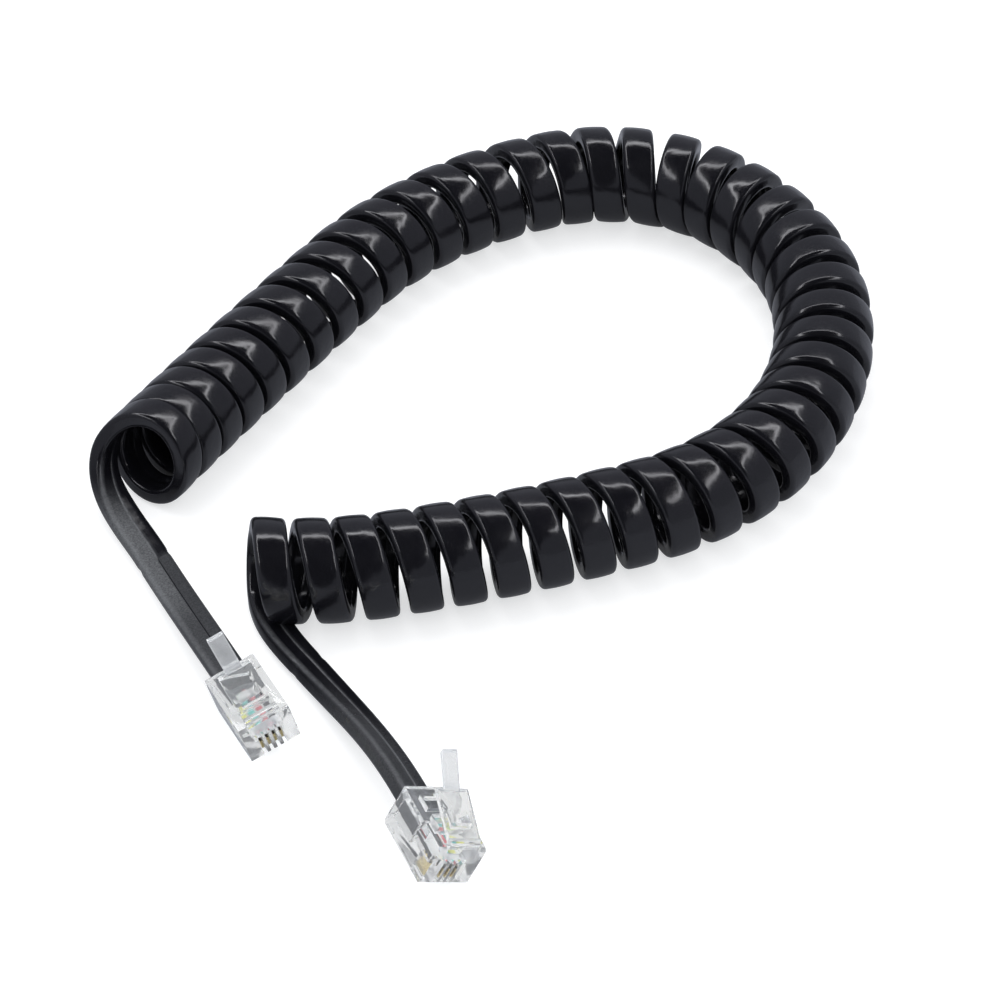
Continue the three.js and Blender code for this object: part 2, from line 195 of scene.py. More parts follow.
def axis_at(s):
    """The coil's axis at distances s: x, y and heading."""
    x = np.full_like(s, AXIS_START[0])
    y = np.full_like(s, AXIS_START[1])
    heading = np.full_like(s, math.radians(AXIS_HEADING))
    left = s.copy()
    for length, degrees in AXIS_ARCS:
        curvature = math.radians(degrees) / length
        run = np.clip(left, 0, length)
        x += (np.sin(heading + curvature * run) - np.sin(heading)) / curvature
        y -= (np.cos(heading + curvature * run) - np.cos(heading)) / curvature
        heading = heading + curvature * run
        left = left - run
    return x + left * np.cos(heading), y + left * np.sin(heading), heading


def advance(u):
    """How far along the axis the cord has got after u turns."""
    early = np.maximum(0, 1 - u / EXIT_A_TURNS)
    tilt = EXIT_A_TILT * np.cos(2 * np.pi * u) * np.exp(-u / EXIT_A_TILT_TURNS)
    s = EXIT_A_TILT - tilt + EXIT_A_DRIFT * (1 - early * early)
    for (start, first), (end, last) in zip(PITCHES, PITCHES[1:]):
        run = np.clip(u - start, 0, end - start)
        s = s + first * run + (last - first) * run * run / (end - start) / 2
    for turn in LOOSE_TURNS:
        s = s + LOOSE_GAP * smooth((u - turn) / LOOSE_GAP_TURNS + 0.5)
    late = np.maximum(0, 1 - (TURNS - u) / EXIT_B_TURNS)
    swing = (u - TURNS + EXIT_B_OUT_FROM) / (EXIT_B_OUT_FROM - EXIT_B_TURNS / 2)
    return s + EXIT_B_OUT * smooth(swing) - EXIT_B_BACK * late * late


def coil_points(u):
    """The wound cord after u turns: its middle and its outward direction."""
    x, y, heading = axis_at(advance(u))
    angle = 2 * np.pi * u
    outward = np.stack([
        -np.sin(heading) * np.sin(angle), np.cos(heading) * np.sin(angle), -np.cos(angle),
    ], axis=-1)
    centre = np.stack([x, y, np.full_like(x, COIL_RADIUS)], axis=-1)
    return centre + WIND_RADIUS * outward, outward


def coil_axis_point(turn):
    x, y, _ = axis_at(advance(np.array([float(turn)])))
    return Vector((x[0], y[0], COIL_RADIUS))


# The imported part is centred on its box; one joint, whose place on the coil is known, says by how much.
OFFSET = Vector(joints["coil_left_bend"]["pos_m"]) / MM - coil_axis_point(LEFT_BEND_TURN)


class Plug:
    """A plug's place, read from its nose mount and its latch joint."""

    def __init__(self, end):
        mount = mounts[f"plug_{end}_nose_face"]
        self.forward = Vector(mount["axis"]).normalized()
        self.right = Vector(joints[f"latch_{end}_press"]["axis"]).normalized()
        self.top = self.right.cross(self.forward).normalized()
        nose = Vector(mount["pos_m"]) / MM - OFFSET
        self.centre = nose - self.forward * FRONT - self.top * NOSE_MOUNT_HEIGHT

    def matrix(self):
        m = Matrix((self.right, self.forward, self.top)).transposed().to_4x4()
        m.translation = self.centre
        return m


class Tail:
    """One tail: from the coil's exit, over its place on the table, to its plug and on inside it."""
    SAMPLES = 400

    def __init__(self, end, plug):
        step = 1e-3 if end == "b" else -1e-3
        near, outward = coil_points(np.array([TAIL_EXITS[end], TAIL_EXITS[end] - step]))
        table_point, degrees, self.untwist = TAIL_REST[end]
        table_point = np.array(table_point)
        along = np.array([math.cos(math.radians(degrees)), math.sin(math.radians(degrees)), 0])
        self.forward = np.array(plug.forward)
        entry = np.array(plug.centre) - self.forward * PLUG_ENTRY
        first = self.bow(near[0], unit(near[0] - near[1]), table_point, along)
        second = self.bow(table_point, along, entry, self.forward)
        self.points = np.concatenate([first, second[1:]])
        steps = np.linalg.norm(np.diff(self.points, axis=0), axis=1)
        self.distance = np.concatenate([[0], np.cumsum(steps)])
        self.length = self.distance[-1]
        self.outward = outward[0]
        self.under = -np.array(plug.top)

    def bow(self, start, leaving, end, arriving):
        """A cubic curve between two points with a direction at each."""
        pull = np.linalg.norm(end - start) / 3
        t = np.linspace(0, 1, self.SAMPLES)[:, None]
        a, b, c, d = start, start + leaving * pull, end - arriving * pull, end
        return a * (1 - t) ** 3 + 3 * b * t * (1 - t) ** 2 + 3 * c * t * t * (1 - t) + d * t ** 3

    def at(self, distance):
        """The tail's middle and its outward direction at distances from the coil's exit."""
        inside = np.maximum(distance - self.length, 0)[:, None]
        point = np.stack([np.interp(distance, self.distance, self.points[:, k]) for k in range(3)], axis=-1)
        twist = ((1 - np.minimum(distance / self.length, 1)) ** self.untwist)[:, None]
        outward = unit(self.outward * twist + self.under * (1 - twist))
        return point + inside * self.forward, outward


PLUGS = {end: Plug(end) for end in "ab"}
TAILS = {end: Tail(end, PLUGS[end]) for end in "ab"}


def cord_points(u):
    """Any points of the cord. u is in turns, below COIL_START on tail A and above TURNS on tail B."""
    point, outward = coil_points(np.clip(u, COIL_START, TURNS))
    for tail, beyond in ((TAILS["a"], COIL_START - u), (TAILS["b"], u - TURNS)):
        past = beyond > 0
        if past.any():
            point[past], outward[past] = tail.at(beyond[past] * TURN_LENGTH)
    return point, outward


def cord_frames(u):
    """The cord's middle, its width direction and its outward direction, square to its run."""
    small = 2e-3
    point, outward = cord_points(u)
    tangent = unit(cord_points(u + small)[0] - cord_points(u - small)[0])
    across = unit(np.cross(outward, tangent))
    return point, across, np.cross(tangent, across)


def tail_turn(end, distance):
    """The place on the cord `distance` mm along a tail from the coil's exit."""
    turns = distance / TURN_LENGTH
    return COIL_START - turns if end == "a" else TURNS + turns


def tail_distance(end, u):
    """How far along a tail each station is, in mm from the coil's exit: negative on the coil."""
    return (COIL_START - u if end == "a" else u - TURNS) * TURN_LENGTH


# ---- meshes ----

def add_object(name, data):
    thing = bpy.data.objects.new(name, data)
    bpy.context.scene.collection.objects.link(thing)
    return thing


def store(mesh, name, values, domain="POINT"):
    """Keeps one number for each point or face of a mesh, for its material to read."""
    mesh.attributes.new(name, "FLOAT", domain).data.foreach_set("value", np.ravel(values).astype(np.float32))


def place(name, mesh, slot):
    """Makes an object of a mesh built in millimetres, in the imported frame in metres."""
    mesh.transform(Matrix.Scale(MM, 4) @ Matrix.Translation(OFFSET))
    piece = add_object(name, mesh)
    piece.data.materials.append(MATERIALS[slot])
    rest = np.empty(len(mesh.vertices) * 3, np.float32)
    mesh.vertices.foreach_get("co", rest)
    mesh.attributes.new("rest", "FLOAT_VECTOR", "POINT").data.foreach_set("vector", rest)
    return piece


def jacket_section(u):
    """The flat cord's outline at each u: crowned outside, creased along the inside."""
    flat = CORD_HALF_WIDTH - SHOULDER
    deep = CORD_HALF_THICKNESS
    outline = []
    for side, face, start in ((1, 1, 0), (-1, 1, 90), (-1, -1, 180), (1, -1, 270)):
        for k in range(SHOULDER_STEPS + 1):
            angle = math.radians(start + 90 * k / SHOULDER_STEPS)
            x = side * flat + SHOULDER * math.cos(angle)
            y = face * (deep - SHOULDER) + SHOULDER * math.sin(angle)
            outline.append((x, y))
        if start == 0:
            outline += [(flat * t, deep) for t in OUTER_POINTS]
        if start == 180:
            outline += [(flat * t, -deep) for t in INNER_POINTS]
    outline = np.array(outline)
    x = np.repeat(outline[None, :, 0], len(u), axis=0)
    y = np.repeat(outline[None, :, 1], len(u), axis=0)
    y = np.where(y > deep - TINY, y + OUTER_CROWN * (1 - (x / flat) ** 2), y)
    valley = (VALLEY_A + (VALLEY_B - VALLEY_A) * np.clip(u / TURNS, 0, 1))[:, None]
    inner = (outline[:, 1] < -deep + TINY)[None, :] & (np.abs(x) < flat - TINY)
    x = np.where(inner, x + valley * (1 - np.abs(x) / flat), x)
    reach = np.where(x > valley, flat - valley, flat + valley)
    y = np.where(inner, y + VALLEY_DEPTH * (1 - np.abs(x - valley) / reach), y)
    bottom = inner & (np.abs(x - valley) < TINY)
    y = np.where(bottom, y + CREASE_DEPTH, y)
    pinch = np.zeros_like(u)
    for end in "ab":
        away = (tail_distance(end, u) - NOTCH[end]) / NOTCH_HALF
        pinch += NOTCH_DEPTH * np.exp(-away * away)
    return x - np.sign(x) * pinch[:, None] * (np.abs(x) > flat), y


def jacket_surface(u, x):
    """How glossy black the jacket is at each point, with painted side shade, how strongly it mirrors, and its
    painted highlights.

    The coil is glossy. Each tail dulls to a lighter satin colour, more on the light side of its crease than
    on the dark side: painted light on one side and painted shade on the other. Painted highlights run along
    its light edge and along its crease. On tail A the crease highlight stops where the dark side dulls, and
    from there the crease stays glossy black, a painted shade line.
    """
    gloss_and_side_shade = np.ones_like(x)
    sheen = np.ones_like(x)
    painted_highlight = np.zeros_like(x)
    for end, valley, dark_side in (("a", VALLEY_A, 1), ("b", VALLEY_B, -1)):
        distance = tail_distance(end, u)[:, None]
        gone = {}
        for change, (start, run, _) in DULLING_AND_SIDE_SHADE[end].items():
            gone[change] = smooth((distance - start) / run)
        most = {change: share for change, (_, _, share) in DULLING_AND_SIDE_SHADE[end].items()}
        # Painted light and shade: the light side of the crease dulls to the lighter satin colour, and the
        # dark side much less.
        dark = smooth(dark_side * (x - valley) / SIDE_RAMP + 0.5)
        light_loss = most["light"] * gone["light"] * (1 - most["regained"] * gone["regained"])
        gloss_and_side_shade = gloss_and_side_shade * (1 - light_loss * (1 - dark))
        gloss_and_side_shade = gloss_and_side_shade * (1 - most["dark"] * gone["dark"] * dark)
        # Painted highlights: a line along the crease and a band along the light edge.
        crease = np.exp(-(((x - valley) / HIGHLIGHT_CREASE_HALF) ** 2))
        edge = np.exp(-(((dark_side * x + HIGHLIGHT_EDGE_AT) / HIGHLIGHT_EDGE_HALF) ** 2))
        # On tail A past the notch, the crease is painted shade: a darker, glossier line in place of the
        # highlight.
        if end == "a":
            gloss_and_side_shade = np.maximum(gloss_and_side_shade, crease * gone["dark"])
            crease = crease * (1 - gone["dark"])
        on_tail = smooth(distance / SHEEN_RUN)
        sheen = sheen * (1 - on_tail)
        painted_highlight = painted_highlight + on_tail * np.maximum(crease, HIGHLIGHT_EDGE_SHARE * edge)
    return {"gloss_and_side_shade": gloss_and_side_shade, "sheen": sheen, "painted_highlight": painted_highlight}


def wire_section(offset):
    """A function that gives the round outline of a wire `offset` mm off the cord's middle."""
    angle = np.linspace(0, 2 * np.pi, WIRE_SIDES, endpoint=False)

    def section(u):
        x = offset + WIRE_RADIUS * np.cos(angle)
        y = WIRE_RADIUS * np.sin(angle)
        return np.repeat(x[None], len(u), axis=0), np.repeat(y[None], len(u), axis=0)
    return section


def sweep(name, section, u, slot):
    """A closed solid: the section carried along the cord at the stations u."""
    point, across, outward = cord_frames(u)
    x, y = section(u)
    rings = point[:, None] + x[..., None] * across[:, None] + y[..., None] * outward[:, None]
    stations, sides = x.shape
    ring = np.arange(stations - 1)[:, None] * sides
    side = np.arange(sides)[None]
    after = (side + 1) % sides
    quads = np.stack([ring + side, ring + after, ring + sides + after, ring + sides + side], axis=-1)
    faces = quads.reshape(-1, 4).tolist()
    faces.append(list(range(sides))[::-1])
    faces.append(list(range((stations - 1) * sides, stations * sides)))
    mesh = bpy.data.meshes.new(name)
    mesh.from_pydata(rings.reshape(-1, 3).tolist(), [], faces)
    mesh.polygons.foreach_set("use_smooth", [True] * (len(faces) - 2) + [False, False])
    bm = bmesh.new()
    bm.from_mesh(mesh)
    bmesh.ops.recalc_face_normals(bm, faces=bm.faces)
    bm.to_mesh(mesh)
    bm.free()
    rims = {key for cap in mesh.polygons[-2:] for key in cap.edge_keys}
    for edge in mesh.edges:
        edge.use_edge_sharp = edge.key in rims
    if slot == "jacket":
        for look, values in jacket_surface(u, x).items():
            store(mesh, look, values)
    return place(name, mesh, slot), np.repeat(u, sides)


def bend(piece, stations):
    """Bakes the piece's placement into its mesh."""
    ends = cord_points(np.array([stations.min(), stations.max()]))[0]
    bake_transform(piece)


def build_coil():
    for name, first, last, body_a, body_b, cad_nodes in COIL_PIECES:
        u = np.linspace(first, last, round((last - first) * STEPS_PER_TURN) + 1)
        piece, stations = sweep(name, jacket_section, u, "jacket")
        bend(piece, stations)
        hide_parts(*cad_nodes)


def build_tail(end):
    """The cord from the coil to inside the plug, in two pieces, and the four wires inside it."""
    tail = TAILS[end]
    coil_exit = TAIL_EXITS[end]
    split = tail_turn(end, TAIL_SPLIT * TURN_LENGTH)
    jacket_end = tail_turn(end, tail.length + PLUG_ENTRY + JACKET_STOP)
    wire_end = tail_turn(end, tail.length + PLUG_ENTRY + WIRE_STOP)

    near = np.linspace(*sorted((coil_exit, split)), round(TAIL_SPLIT * STEPS_PER_TURN) + 1)
    piece, stations = sweep(f"tail_{end}_coil_end", jacket_section, near, "jacket")
    bend(piece, stations)
    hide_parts(f"tail_{end}_bend")

    count = round(abs(jacket_end - split) * STEPS_PER_TURN) + 1
    far = np.linspace(*sorted((split, jacket_end)), count)
    piece, stations = sweep(f"tail_{end}_plug_end", jacket_section, far, "jacket")
    bend(piece, stations)
    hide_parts(f"tail_{end}_jacket", f"tail_{end}_boot_flex", f"plug_{end}_jacket_end")

    for i, wire in enumerate(WIRE_COLOURS):
        offset = ((len(WIRE_COLOURS) - 1) / 2 - i) * WIRE_PITCH
        u = np.linspace(*sorted((split, wire_end)), 2 * count)
        piece, stations = sweep(f"wire_{end}_{wire}", wire_section(offset), u, f"wire_{wire}")
        bend(piece, stations)
        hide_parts(f"tail_{end}_wire_{wire}", f"plug_{end}_wire_{wire}")


# ---- plug solids, in the plug's own frame ----

def prism(outline, width, x=0):
    """A solid of a side outline in y and z, `width` across x."""
    bm = bmesh.new()
    left = [bm.verts.new((x - width / 2, y, z)) for y, z in outline]
    right = [bm.verts.new((x + width / 2, y, z)) for y, z in outline]
    bm.faces.new(left)
    bm.faces.new(right[::-1])
    for k in range(len(outline)):
        n = (k + 1) % len(outline)
        bm.faces.new((left[n], left[k], right[k], right[n]))
    bmesh.ops.recalc_face_normals(bm, faces=bm.faces)
    mesh = bpy.data.meshes.new("solid")
    bm.to_mesh(mesh)
    bm.free()
    return add_object("solid", mesh)


def block(width, y, z, x=0):
    return prism([(y[0], z[0]), (y[1], z[0]), (y[1], z[1]), (y[0], z[1])], width, x)


def combine(solid, tool, operation):
    """Applies one boolean and removes the tool."""
    modifier = solid.modifiers.new("cut", "BOOLEAN")
    modifier.operation = operation
    modifier.solver = "EXACT"
    modifier.object = tool
    bake(solid)
    bpy.data.objects.remove(tool)


def bake(solid):
    graph = bpy.context.evaluated_depsgraph_get()
    mesh = bpy.data.meshes.new_from_object(solid.evaluated_get(graph))
    solid.modifiers.clear()
    solid.data = mesh


def moulded(solid, radius, part, end, slot, cad_node):
    """Rounds a plug solid's edges, shades it, puts it in its plug and hides the CAD node it shows."""
    modifier = solid.modifiers.new("edges", "BEVEL")
    modifier.width = radius
    modifier.segments = 3
    modifier.limit_method = "ANGLE"
    modifier.angle_limit = math.radians(25)
    bake(solid)
    mesh = solid.data
    bpy.data.objects.remove(solid)
    mesh.name = f"plug_{end}_{part}"
    mesh.polygons.foreach_set("use_smooth", [True] * len(mesh.polygons))
    mesh.set_sharp_from_angle(angle=math.radians(40))
    store_plug_looks(mesh, part)
    mesh.transform(PLUGS[end].matrix())
    piece = place(f"plug_{end}_{part}", mesh, slot)
    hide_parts(f"plug_{end}_{cad_node}")
    return piece


def store_plug_looks(mesh, part):
    """How milky each point is, and which faces are the latch's catch plate or face upwards."""
    haze = np.full(len(mesh.vertices), HAZE.get(part, 0), np.float32)
    plate = np.zeros(len(mesh.polygons))
    if part == "latch_lever":
        on_stem = np.array([vertex.co.y < STEM_FROM for vertex in mesh.vertices])
        in_panel = np.array([abs(vertex.co.x) < PANEL_HALF for vertex in mesh.vertices])
        haze[on_stem] = STEM_HAZE
        haze[on_stem & in_panel] = PANEL_HAZE
        plate = [face.center.y > STEM_FROM for face in mesh.polygons]
    store(mesh, "haze", haze)
    store(mesh, "plate", plate, "FACE")
    # Faces that face upwards; the gold paints these with shade.
    store(mesh, "faces_up", [face.normal.z > 0.3 for face in mesh.polygons], "FACE")


def build_housing(end):
    """The clear body, with a boss on its nose, cut for the cord, its wires, the bars and the blades."""
    past = 1                           # how far a cut runs beyond the face that it opens
    solid = prism([
        (-FRONT + CHAMFER, -ROOF), (FRONT - CHAMFER, -ROOF), (FRONT, -ROOF + CHAMFER),
        (FRONT, ROOF - CHAMFER), (FRONT - CHAMFER, ROOF), (-FRONT, ROOF), (-FRONT, -ROOF + CHAMFER),
    ], PLUG_WIDTH)
    boss = block(BOSS_WIDTH, (FRONT - 0.9, FRONT + 0.12), (1.55, ROOF + 1.25))
    combine(solid, boss, "UNION")
    channel = block(CHANNEL_WIDTH, (-FRONT - past, -0.2), (-CHANNEL_HALF_HEIGHT, CHANNEL_HALF_HEIGHT))
    mouth = prism([
        (-FRONT - past, -2.5), (-FRONT - past, 2.5), (-FRONT + 0.9, 1.54), (-FRONT + 0.9, -1.54),
    ], MOUTH_WIDTH)
    chamber = block(CHAMBER_WIDTH, (-1.2, 4.2), (-CHAMBER_HALF_HEIGHT, CHAMBER_HALF_HEIGHT))
    strain_window = prism([(-4.7, ROOF + past), (-4.2, 1.0), (-2.0, 1.0), (-1.7, ROOF + past)], WINDOW_WIDTH)
    clamp_window = prism([(-0.8, ROOF + past), (-0.6, 0.3), (1.6, 0.3), (1.8, ROOF + past)], WINDOW_WIDTH)
    recess = block(BOSS_WIDTH, (2.5, FRONT - 1.1), (ROOF - 0.5, ROOF + past))
    slots = []
    for x in blade_places():
        slots.append(block(SLOT_WIDTH, (1.9, FRONT + past), (-ROOF - past, CHAMBER_HALF_HEIGHT), x))
    for cut in (channel, mouth, chamber, strain_window, clamp_window, recess, *reversed(slots)):
        combine(solid, cut, "DIFFERENCE")
    piece = moulded(solid, 0.1, "clear_body", end, "clear_plastic", "housing")
    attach(piece, f"plug_{end}")


def blade_places():
    """Where the four blades are across the plug, in the order of the contacts' numbers."""
    count = len(WIRE_COLOURS)
    return [((count - 1) / 2 - i) * WIRE_PITCH for i in range(count)]


def build_latch(end):
    """The lever springs from the nose and steps from a wide catch plate to a thumb stem."""
    thick, lip = LATCH_THICKNESS, LATCH_LIP
    root_y, root_z = FRONT - 1.0, ROOF + 0.45
    plate_y, plate_z = root_y - PLATE_RUN, root_z + PLATE_RISE
    tip_y, tip_z = plate_y - STEM_RUN, plate_z + STEM_RISE
    plate_slope = PLATE_RISE / PLATE_RUN
    stem_slope = STEM_RISE / STEM_RUN
    in_boss = 0.35
    hinge = [(root_y - d, root_z + d * plate_slope) for d in (0.0, 0.3, 0.6, 0.9)]
    over = [(y, z + thick) for y, z in hinge]
    solid = prism([
        (root_y + in_boss, root_z - 0.05), *hinge, (plate_y - lip, plate_z),
        (plate_y - lip, plate_z + thick), *over[::-1], (root_y + in_boss, root_z + thick),
    ], PLATE_WIDTH)
    stem = prism([
        (plate_y + thick, plate_z - lip), (plate_y + thick, plate_z), (plate_y - lip, plate_z + thick),
        (tip_y, tip_z + thick), (tip_y, tip_z), (plate_y, plate_z - lip / 4),
    ], STEM_WIDTH)
    combine(solid, stem, "UNION")
    from_plate, from_tip = 0.9, 0.45
    above = tip_z + 4
    panel = prism([
        (plate_y - from_plate, plate_z + thick + stem_slope * from_plate - 0.28),
        (plate_y - from_plate, above), (tip_y + from_tip, above),
        (tip_y + from_tip, tip_z + thick - stem_slope * from_tip - 0.05),
    ], PANEL_WIDTH)
    combine(solid, panel, "DIFFERENCE")
    hollow = block(HOLLOW_WIDTH, (plate_y + 0.9, root_y - 1.5), (root_z - 1, root_z + 1.55))
    combine(solid, hollow, "DIFFERENCE")
    piece = moulded(solid, 0.1, "latch_lever", end, "clear_plastic", "latch")
    plug = PLUGS[end].matrix()
    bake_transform(piece)


def build_bars(end):
    """The strain relief bar on the cord's jacket and the clamp bar on its wires."""
    strain = prism([
        (-4.15, BAR_TOP), (-4.1, 1.75), (-3.6, STRAIN_BAR_FOOT), (-2.1, STRAIN_BAR_FOOT), (-1.95, BAR_TOP),
    ], BAR_WIDTH)
    piece = moulded(strain, 0.12, "strain_bar", end, "clear_plastic", "strain_relief_bar")
    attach(piece, f"plug_{end}")
    clamp = prism([
        (-0.4, BAR_TOP), (-0.35, CLAMP_BAR_FOOT), (1.35, CLAMP_BAR_FOOT), (1.45, BAR_TOP),
    ], BAR_WIDTH)
    piece = moulded(clamp, 0.1, "clamp_bar", end, "clear_plastic", "wire_clamp_bar")
    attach(piece, f"plug_{end}")


def build_contacts(end):
    """Gold blades with a rounded contact corner and two points that go into the wire."""
    back, front, top, bottom, r = 2.2, 5.3, -0.45, -2.75, 0.9
    corner_steps = 6
    shoulder, tip = top - 0.3, top + 0.25
    outline = [(back, top), (back, bottom)]
    for k in range(corner_steps + 1):
        angle = math.pi / 2 * (k / corner_steps - 1)
        outline.append((front - r + r * math.cos(angle), bottom + r + r * math.sin(angle)))
    outline.append((front, shoulder))
    for y in BLADE_POINTS:
        outline += [(y + BLADE_POINT_HALF, shoulder), (y, tip), (y - BLADE_POINT_HALF, shoulder)]
    for number, x in enumerate(blade_places(), start=1):
        blade = prism(outline, BLADE_THICKNESS, x)
        piece = moulded(blade, 0.03, f"blade_{number}", end, "contact_gold", f"contact_{number}")
        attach(piece, f"plug_{end}")


# ---- materials ----

class Nodes:
    """A small helper around one node tree."""

    def __init__(self, tree):
        self.tree = tree
        tree.nodes.clear()

    def add(self, kind, **values):
        """Adds a node. Each value sets the node's property of that name, or else its input."""
        node = self.tree.nodes.new(kind)
        for key, value in values.items():
            if hasattr(node, key):
                setattr(node, key, value)
            else:
                self.feed(node.inputs[key], value)
        return node

    def feed(self, socket, value):
        if isinstance(value, bpy.types.NodeSocket):
            self.tree.links.new(value, socket)
        else:
            socket.default_value = value

    def feed_all(self, sockets, values):
        for socket, value in zip(sockets, values):
            self.feed(socket, value)

    def math(self, operation, *values, clamp=False):
        node = self.add("ShaderNodeMath", operation=operation, use_clamp=clamp)
        self.feed_all(node.inputs, values)
        return node.outputs[0]

    def mix(self, share, a, b):
        """A mix of two colours."""
        node = self.add("ShaderNodeMix", data_type="RGBA")
        self.feed_all((node.inputs[0], node.inputs[6], node.inputs[7]), (share, a, b))
        return node.outputs[2]

    def mix_shaders(self, share, a, b):
        node = self.add("ShaderNodeMixShader")
        self.feed_all(node.inputs, (share, a, b))
        return node.outputs[0]

    def noise(self, coordinates, scale, detail=2, roughness=0.5):
        node = self.add("ShaderNodeTexNoise", Scale=scale, Detail=detail, Roughness=roughness)
        self.feed(node.inputs["Vector"], coordinates)
        return node.outputs["Fac"]

    def span(self, value, low, high, to_low, to_high):
        """Maps low to to_low and high to to_high."""
        node = self.add("ShaderNodeMapRange")
        self.feed_all(node.inputs, (value, low, high, to_low, to_high))
        return node.outputs[0]

    def bump(self, height, strength, distance, normal=None):
        node = self.add("ShaderNodeBump", Strength=strength, Distance=distance)
        self.feed(node.inputs["Height"], height)
        if normal is not None:
            self.feed(node.inputs["Normal"], normal)
        return node.outputs[0]

    def attribute(self, name, output="Fac"):
        return self.add("ShaderNodeAttribute", attribute_name=name).outputs[output]

    def rest(self):
        """The place of each point at rest, so that a texture stays on a moving cord."""
        return self.attribute("rest", "Vector")


def new_material(name):
    material = bpy.data.materials.new(name)
    material.use_nodes = True
    nodes = Nodes(material.node_tree)
    shader = nodes.add("ShaderNodeBsdfPrincipled")
    output = nodes.add("ShaderNodeOutputMaterial")
    nodes.feed(output.inputs["Surface"], shader.outputs[0])
    return material, nodes, shader, output


def jacket_material():
    """Black PVC: glossy where it was set on the mandrel, satin and grained on the tails, with painted light
    and shade on the sides of their creases and painted highlights along their creases and edges.
    """
    material, n, shader, _ = new_material("jacket_pvc")
    rest = n.rest()
    gloss_and_side_shade = n.attribute("gloss_and_side_shade")
    sheen = n.attribute("sheen")
    smudge = n.noise(rest, 220, 3, 0.6)
    grain = n.noise(rest, 3800, 3, 0.6)
    scuff = n.noise(rest, 1300, 4, 0.7)
    glossy = n.mix(smudge, (0.003, 0.003, 0.0045, 1), (0.007, 0.007, 0.009, 1))
    # The satin colour carries the grain. It is far lighter than the glossy black, and on the light side of
    # each tail's crease that lightness is painted light.
    satin = n.mix(n.span(grain, 0.35, 0.7, 0, 1), (0.048, 0.050, 0.054, 1), (0.115, 0.119, 0.126, 1))
    # A painted highlight along each tail's crease and light edge, broken up by the scuff noise.
    painted_highlight = n.math("MULTIPLY", n.attribute("painted_highlight"), n.span(scuff, 0.3, 0.7, 0.35, 0.8))
    colour = n.mix(painted_highlight, n.mix(gloss_and_side_shade, satin, glossy), (0.17, 0.175, 0.187, 1))
    rough = n.span(gloss_and_side_shade, 0, 1, 0.5, 0.17)
    rough = n.math("ADD", rough, n.span(smudge, 0.3, 0.8, -0.03, 0.06))
    rough = n.math("ADD", rough, n.span(scuff, 0.62, 0.8, 0, 0.12), clamp=True)
    wave = n.bump(n.noise(rest, 260), 0.35, 0.00035)
    fine = n.bump(n.math("MULTIPLY", grain, n.span(gloss_and_side_shade, 0, 1, 1, 0.1)), 0.4, 0.00005, wave)
    n.feed(shader.inputs["Base Color"], colour)
    n.feed(shader.inputs["Roughness"], rough)
    n.feed(shader.inputs["Specular IOR Level"], n.span(sheen, 0, 1, 0.13, 0.5))
    n.feed(shader.inputs["IOR"], 1.53)
    n.feed(shader.inputs["Normal"], fine)
    return material


def clear_material():
    """Moulded polycarbonate: clear, with a white haze that is strongest on the latch's stem."""
    material, n, shader, output = new_material("clear_polycarbonate")
    flow = n.noise(n.rest(), 500, 3, 0.5)
    n.feed(shader.inputs["Base Color"], (0.985, 0.985, 0.975, 1))
    n.feed(shader.inputs["Transmission Weight"], 1)
    n.feed(shader.inputs["IOR"], 1.45)
    n.feed(shader.inputs["Roughness"], n.span(flow, 0.3, 0.8, 0.02, 0.09))
    n.feed(shader.inputs["Normal"], n.bump(flow, 0.12, 0.0002))
    haze = n.math("MULTIPLY", n.attribute("haze"), n.span(n.attribute("plate"), 0, 1, 1, PLATE_HAZE_SHARE))
    haze = n.math("MULTIPLY", haze, n.span(flow, 0.3, 0.8, 0.85, 1.15))
    milky = n.add("ShaderNodeBsdfTranslucent", Color=(0.95, 0.96, 0.98, 1))
    chalky = n.add("ShaderNodeBsdfDiffuse", Color=(0.82, 0.83, 0.86, 1))
    white = n.mix_shaders(0.6, milky.outputs[0], chalky.outputs[0])
    hazy = n.mix_shaders(haze, shader.outputs[0], white)
    # Light that only brightens or shades other things goes straight through.
    see_through = n.add("ShaderNodeBsdfTransparent", Color=(0.93, 0.95, 0.97, 1))
    path = n.add("ShaderNodeLightPath")
    straight = n.math("MAXIMUM", path.outputs["Is Shadow Ray"], path.outputs["Is Diffuse Ray"])
    n.feed(output.inputs["Surface"], n.mix_shaders(straight, hazy, see_through.outputs[0]))
    return material


def gold_material():
    """Gold plate, with painted shade: the faces that face upwards are near black."""
    material, n, shader, _ = new_material("gold_plate")
    rest = n.rest()
    tone = n.noise(rest, 1500, 3, 0.6)
    plated = n.mix(tone, (0.60, 0.48, 0.20, 1), (0.80, 0.68, 0.36, 1))
    # Painted shade: the upward faces, in the shade of their slots, are near black.
    n.feed(shader.inputs["Base Color"], n.mix(n.attribute("faces_up"), plated, (0.035, 0.03, 0.024, 1)))
    n.feed(shader.inputs["Metallic"], 1)
    n.feed(shader.inputs["Roughness"], n.span(tone, 0.3, 0.7, 0.16, 0.34))
    n.feed(shader.inputs["Normal"], n.bump(n.noise(rest, 12000, 1), 0.1, 0.00002))
    return material


def wire_material(name, colour):
    """Soft coloured insulation with a faint unevenness."""
    material, n, shader, _ = new_material(f"wire_{name}_insulation")
    rest = n.rest()
    tone = n.noise(rest, 900)
    darker = tuple(c * 0.8 for c in colour)
    n.feed(shader.inputs["Base Color"], n.mix(tone, (*darker, 1), (*colour, 1)))
    n.feed(shader.inputs["Roughness"], n.span(tone, 0.3, 0.7, 0.3, 0.45))
    n.feed(shader.inputs["Subsurface Weight"], 0.1)
    n.feed(shader.inputs["Subsurface Scale"], 0.0003)
    n.feed(shader.inputs["Normal"], n.bump(n.noise(rest, 5000), 0.15, 0.00002))
    return material


